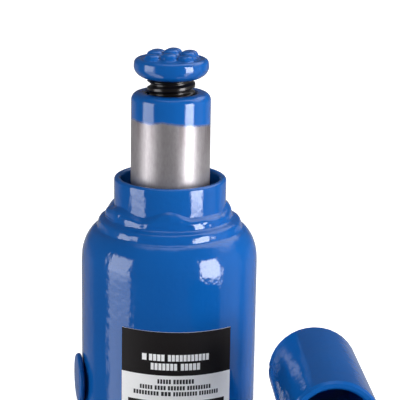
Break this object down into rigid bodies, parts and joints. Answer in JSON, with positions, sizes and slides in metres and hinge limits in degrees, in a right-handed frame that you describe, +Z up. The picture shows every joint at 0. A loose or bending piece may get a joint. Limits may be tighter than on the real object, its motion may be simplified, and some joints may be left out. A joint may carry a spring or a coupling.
{
  "type": "bottle jack",
  "caption": "Welded hydraulic bottle jack with raised ram, threaded extension screw under a knobbed saddle, side filler plug and lever-worked pump with a handle socket.",
  "frame": {"origin": "on the ram axis, on the underside of the base", "axes": "+Z up along the ram; -Y is the side the handle socket opens towards; +X is the side the pump stands on"},
  "size_m": [0.104, 0.134, 0.2149],
  "materials": {
    "backup_nylon": "natural nylon",
    "clip_steel": "black spring steel",
    "copper_gasket": "soft copper",
    "cup_rubber": "black moulded cup",
    "cylinder_paint": "gloss blue enamel outside, bare honed bore",
    "foot_paint": "gloss blue enamel over a cast foot",
    "gland_seal_rubber": "black seal rubber",
    "gland_steel": "turned steel",
    "label_film": "printed film",
    "link_steel": "zinc plated plate",
    "pin_steel": "zinc plated steel",
    "plug_rubber": "rubber plug sprayed blue with the body",
    "plunger_steel": "polished steel rod",
    "pump_steel": "zinc plated steel",
    "ram_steel": "ground steel with a blue painted top band",
    "release_steel": "zinc plated steel",
    "retainer_brass": "turned brass",
    "saddle_paint": "gloss blue enamel",
    "screw_black": "black oxide steel",
    "seal_rubber": "black seal rubber",
    "socket_paint": "gloss blue enamel",
    "spring_steel": "spring wire",
    "strainer_brass": "woven brass gauze",
    "tank_paint": "gloss blue enamel",
    "valve_steel": "bright steel",
    "weld_paint": "gloss blue enamel over a weld bead",
    "wiper_rubber": "black seal rubber"
  },
  "bodies": {
    "jack_body": {"base_casting": "foot_paint", "reservoir_tank": "tank_paint", "neck_weld": "weld_paint", "pressure_cylinder": "cylinder_paint", "cylinder_gasket": "copper_gasket", "gland_nut": "gland_steel", "gland_seal": "gland_seal_rubber", "wiper_ring": "wiper_rubber", "body_label": "label_film", "outlet_ball_retainer": "retainer_brass", "relief_ball": "valve_steel", "relief_spring": "spring_steel", "relief_screw": "valve_steel", "oil_strainer": "strainer_brass", "outlet_passage_plug": "valve_steel", "inlet_passage_plug": "valve_steel", "pump_cylinder": "pump_steel", "pump_washer": "copper_gasket", "pump_packing": "seal_rubber", "link_pin": "pin_steel", "link_pin_clip": "clip_steel"},
    "filler_plug": {"filler_plug": "plug_rubber"},
    "ram": {"ram": "ram_steel", "ram_backup_ring": "backup_nylon", "ram_cup_seal": "cup_rubber", "ram_seal_nut": "valve_steel"},
    "screw_stop": {"screw_stop_ring": "clip_steel"},
    "extension_screw": {"extension_screw": "screw_black", "saddle": "saddle_paint"},
    "link": {"link_plate_left": "link_steel", "link_plate_right": "link_steel", "lever_pin": "pin_steel", "lever_pin_clip": "clip_steel"},
    "handle_socket": {"handle_socket": "socket_paint", "plunger_pin": "pin_steel", "plunger_pin_clip": "clip_steel"},
    "pump_plunger": {"pump_plunger": "plunger_steel", "plunger_o_ring": "seal_rubber"},
    "release_ball": {"release_ball": "valve_steel"},
    "release_screw": {"release_screw": "release_steel", "release_o_ring": "seal_rubber"},
    "inlet_ball": {"inlet_ball": "valve_steel"},
    "outlet_ball": {"outlet_ball": "valve_steel"}
  },
  "joints": [
    {"name": "ram_lift", "type": "slide", "parent": "jack_body", "child": "ram", "axis": [0, 0, 1], "range_m": [-0.0324, 0.0789]},
    {"name": "screw_travel", "type": "slide", "parent": "ram", "child": "screw_stop", "axis": [0, 0, 1], "range_m": [-0.0044, 0.0427]},
    {"name": "screw_turn", "type": "hinge", "parent": "screw_stop", "child": "extension_screw", "pos_m": [0, 0, 0.2], "axis": [0, 0, 1], "range_deg": [-528.1, 5124.1]},
    {"name": "link_swing", "type": "hinge", "parent": "jack_body", "child": "link", "pos_m": [0.0444, -0.0183, 0.035], "axis": [1, 0, 0], "range_deg": [-2.2, 4]},
    {"name": "socket_swing", "type": "hinge", "parent": "link", "child": "handle_socket", "pos_m": [0.0444, -0.01749, 0.08604], "axis": [-1, 0, 0], "range_deg": [-16, 30]},
    {"name": "plunger_stroke", "type": "slide", "parent": "jack_body", "child": "pump_plunger", "axis": [0, 0, 1], "range_m": [-0.0039, 0.00725]},
    {"name": "release_travel", "type": "slide", "parent": "jack_body", "child": "release_ball", "axis": [0, -1, 0], "range_m": [0, 0.002]},
    {"name": "release_turn", "type": "hinge", "parent": "release_ball", "child": "release_screw", "pos_m": [-0.006, -0.05, 0.013], "axis": [0, -1, 0], "range_deg": [0, 720.1]},
    {"name": "filler_plug_pull", "type": "slide", "parent": "jack_body", "child": "filler_plug", "axis": [-0.9925, -0.1219, 0], "range_m": [0, 0.012]},
    {"name": "inlet_ball_lift", "type": "slide", "parent": "jack_body", "child": "inlet_ball", "axis": [0, 0, 1], "range_m": [0, 0.0015]},
    {"name": "outlet_ball_lift", "type": "slide", "parent": "jack_body", "child": "outlet_ball", "axis": [0, 0, 1], "range_m": [0, 0.001]}
  ],
  "couplings": [
    {"joint": "screw_turn", "follows": "screw_travel", "rad_per_m": 2094.4},
    {"joint": "link_swing", "follows": "socket_swing", "ratio": 0.1328},
    {"joint": "plunger_stroke", "follows": "socket_swing", "m_per_rad": 0.01383},
    {"joint": "release_turn", "follows": "release_travel", "rad_per_m": 6283.2}
  ]
}
